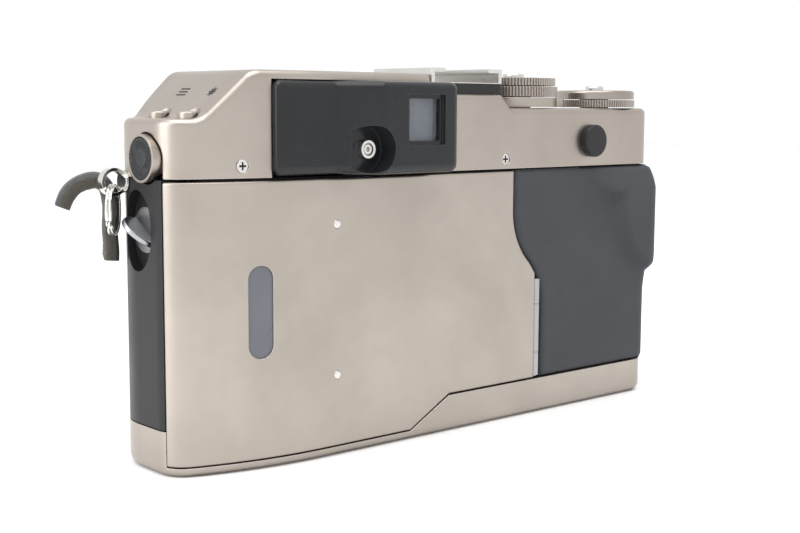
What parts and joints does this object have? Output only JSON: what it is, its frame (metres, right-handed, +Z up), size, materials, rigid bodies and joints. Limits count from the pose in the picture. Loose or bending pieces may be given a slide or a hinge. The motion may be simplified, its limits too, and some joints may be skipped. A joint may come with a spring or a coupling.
{
  "type": "film camera body",
  "caption": "Compact 35 mm film camera body with interchangeable lens mount, hinged film door, eyepiece block, stacked dials, accessory shoe and strap tab.",
  "frame": {"origin": "centre of the tripod socket's mouth, in the bottom face, under the optical axis and at mid body thickness", "axes": "+Z up, -Y the way the lens points, +X towards the film cassette end (the viewer's left when seen from behind)"},
  "size_m": [0.147, 0.0442, 0.0763],
  "materials": {
    "titanium": "satin champagne metal",
    "bright_metal": "polished",
    "steel": "brushed",
    "rubber": "matte moulded",
    "black_plastic": "matte",
    "gloss_black": "gloss",
    "glass": "clear",
    "window_grey": "satin",
    "gold": "polished",
    "circuit": "matte",
    "leather": "worn"
  },
  "bodies": {
    "root": {"batteries": "steel", "bottom_cover": "titanium", "chassis": "black_plastic", "circuit_board": "circuit", "cover_screws": "bright_metal", "cover_windows": "glass", "dial_posts": "steel", "drive_motor": "steel", "eyepiece_glass": "glass", "eyepiece_housing": "gloss_black", "finder_block": "black_plastic", "front_cover": "titanium", "front_grip": "rubber", "gold_contacts": "gold", "hinge_leaf": "titanium", "hinge_pin": "bright_metal", "mount_ring": "bright_metal", "mount_screws": "bright_metal", "rear_grip": "rubber", "remote_socket": "black_plastic", "shoe_base": "black_plastic", "shoe_rails": "bright_metal", "shutter": "black_plastic", "side_panel": "black_plastic", "strap_lugs": "bright_metal", "sync_terminal": "bright_metal", "top_cover": "titanium", "tripod_socket": "bright_metal"},
    "back_door": {"door_skin": "titanium", "door_rivets": "bright_metal", "film_window": "window_grey", "door_liner": "black_plastic", "door_hinge": "titanium", "pressure_spring": "steel"},
    "pressure_plate": {"pressure_plate": "steel"},
    "latch_key": {"latch_boss": "black_plastic", "latch_key": "steel", "latch_hook": "steel"},
    "dioptre_dial": {"dioptre_dial": "bright_metal", "dioptre_face": "black_plastic"},
    "speed_dial": {"speed_dial": "titanium"},
    "comp_dial": {"comp_dial": "titanium"},
    "bracketing_lever": {"bracketing_lever": "titanium"},
    "lock_button": {"lock_button": "bright_metal"},
    "focus_dial": {"focus_dial": "titanium"},
    "main_switch": {"main_switch": "titanium"},
    "shutter_button": {"shutter_button": "bright_metal"},
    "drive_button": {"drive_button": "titanium"},
    "iso_button": {"iso_button": "titanium"},
    "remote_cap": {"remote_cap": "black_plastic"},
    "release_button": {"release_button": "bright_metal"},
    "battery_lid": {"battery_lid": "titanium"},
    "battery_lock": {"battery_lock": "titanium"},
    "take_up_spool": {"take_up_spool": "black_plastic"},
    "sprocket": {"sprocket": "black_plastic"},
    "idler_gear": {"idler_gear": "black_plastic"},
    "motor_pinion": {"motor_pinion": "black_plastic"},
    "rewind_fork": {"rewind_fork": "black_plastic"},
    "strap_ring": {"split_ring": "bright_metal", "strap_leather": "leather"}
  },
  "joints": [
    {"name": "back_door", "type": "hinge", "parent": "root", "child": "back_door", "pos_m": [-0.0356, 0.01405, 0.02], "axis": [0, 0, 1], "range_deg": [0, 95]},
    {"name": "pressure_plate", "type": "slide", "parent": "back_door", "child": "pressure_plate", "axis": [0, 1, 0], "range_m": [0, 0.0005], "stiffness_N_per_m": 900},
    {"name": "latch_key", "type": "hinge", "parent": "root", "child": "latch_key", "pos_m": [0.054, -0.0017, 0.0453], "axis": [1, 0, 0], "range_deg": [0, 90]},
    {"name": "dioptre_dial", "type": "hinge", "parent": "root", "child": "dioptre_dial", "pos_m": [0.054, 0.0023, 0.0588], "axis": [1, 0, 0], "range_deg": [-140, 140]},
    {"name": "speed_dial", "type": "hinge", "parent": "root", "child": "speed_dial", "pos_m": [-0.038, 0.004, 0.074], "axis": [0, 0, 1], "continuous": true},
    {"name": "comp_dial", "type": "hinge", "parent": "root", "child": "comp_dial", "pos_m": [-0.038, 0.004, 0.072], "axis": [0, 0, 1], "range_deg": [-80, 80]},
    {"name": "bracketing_lever", "type": "hinge", "parent": "root", "child": "bracketing_lever", "pos_m": [-0.038, 0.004, 0.0695], "axis": [0, 0, 1], "range_deg": [-20, 20]},
    {"name": "lock_button", "type": "slide", "parent": "root", "child": "lock_button", "axis": [0, 0, -1], "range_m": [0, 0.0008], "stiffness_N_per_m": 500},
    {"name": "focus_dial", "type": "hinge", "parent": "root", "child": "focus_dial", "pos_m": [-0.0645, 0.0054, 0.069], "axis": [0, 0, 1], "continuous": true},
    {"name": "main_switch", "type": "hinge", "parent": "root", "child": "main_switch", "pos_m": [-0.0645, 0.0054, 0.071], "axis": [0, 0, 1], "range_deg": [0, 60]},
    {"name": "shutter_button", "type": "slide", "parent": "root", "child": "shutter_button", "axis": [0, 0, -1], "range_m": [0, 0.001], "stiffness_N_per_m": 500},
    {"name": "drive_button", "type": "slide", "parent": "root", "child": "drive_button", "axis": [0, 0, -1], "range_m": [0, 0.0006], "stiffness_N_per_m": 500},
    {"name": "iso_button", "type": "slide", "parent": "root", "child": "iso_button", "axis": [0, 0, -1], "range_m": [0, 0.0006], "stiffness_N_per_m": 500},
    {"name": "remote_cap", "type": "slide", "parent": "root", "child": "remote_cap", "axis": [0, 1, 0], "range_m": [0, 0.006]},
    {"name": "release_button", "type": "slide", "parent": "root", "child": "release_button", "axis": [0, 1, 0], "range_m": [0, 0.0011], "stiffness_N_per_m": 600},
    {"name": "battery_lid", "type": "slide", "parent": "root", "child": "battery_lid", "axis": [0, 0, -1], "range_m": [0, 0.012]},
    {"name": "battery_lock", "type": "hinge", "parent": "battery_lid", "child": "battery_lock", "pos_m": [-0.0544, -0.004, 0.001], "axis": [0, 0, -1], "range_deg": [0, 90]},
    {"name": "take_up_spool", "type": "hinge", "parent": "root", "child": "take_up_spool", "pos_m": [-0.0308, -0.0035, 0.03], "axis": [0, 0, 1], "continuous": true},
    {"name": "sprocket", "type": "hinge", "parent": "root", "child": "sprocket", "pos_m": [-0.0232, 0.0048, 0.03], "axis": [0, 0, 1], "continuous": true},
    {"name": "idler_gear", "type": "hinge", "parent": "root", "child": "idler_gear", "pos_m": [-0.0408, -0.0035, 0.0565], "axis": [0, 0, 1], "continuous": true},
    {"name": "motor_pinion", "type": "hinge", "parent": "root", "child": "motor_pinion", "pos_m": [-0.0478, -0.0035, 0.0565], "axis": [0, 0, 1], "continuous": true},
    {"name": "rewind_fork", "type": "hinge", "parent": "root", "child": "rewind_fork", "pos_m": [0.039, -0.0006, 0.052], "axis": [0, 0, 1], "continuous": true},
    {"name": "strap_ring", "type": "hinge", "parent": "root", "child": "strap_ring", "pos_m": [0.0582, -0.0062, 0.0542], "axis": [0, -1, 0], "range_deg": [0, 60]}
  ],
  "couplings": [
    {"joint": "sprocket", "follows": "take_up_spool", "ratio": -1.1429},
    {"joint": "idler_gear", "follows": "take_up_spool", "ratio": -1.5},
    {"joint": "motor_pinion", "follows": "take_up_spool", "ratio": 2}
  ]
}
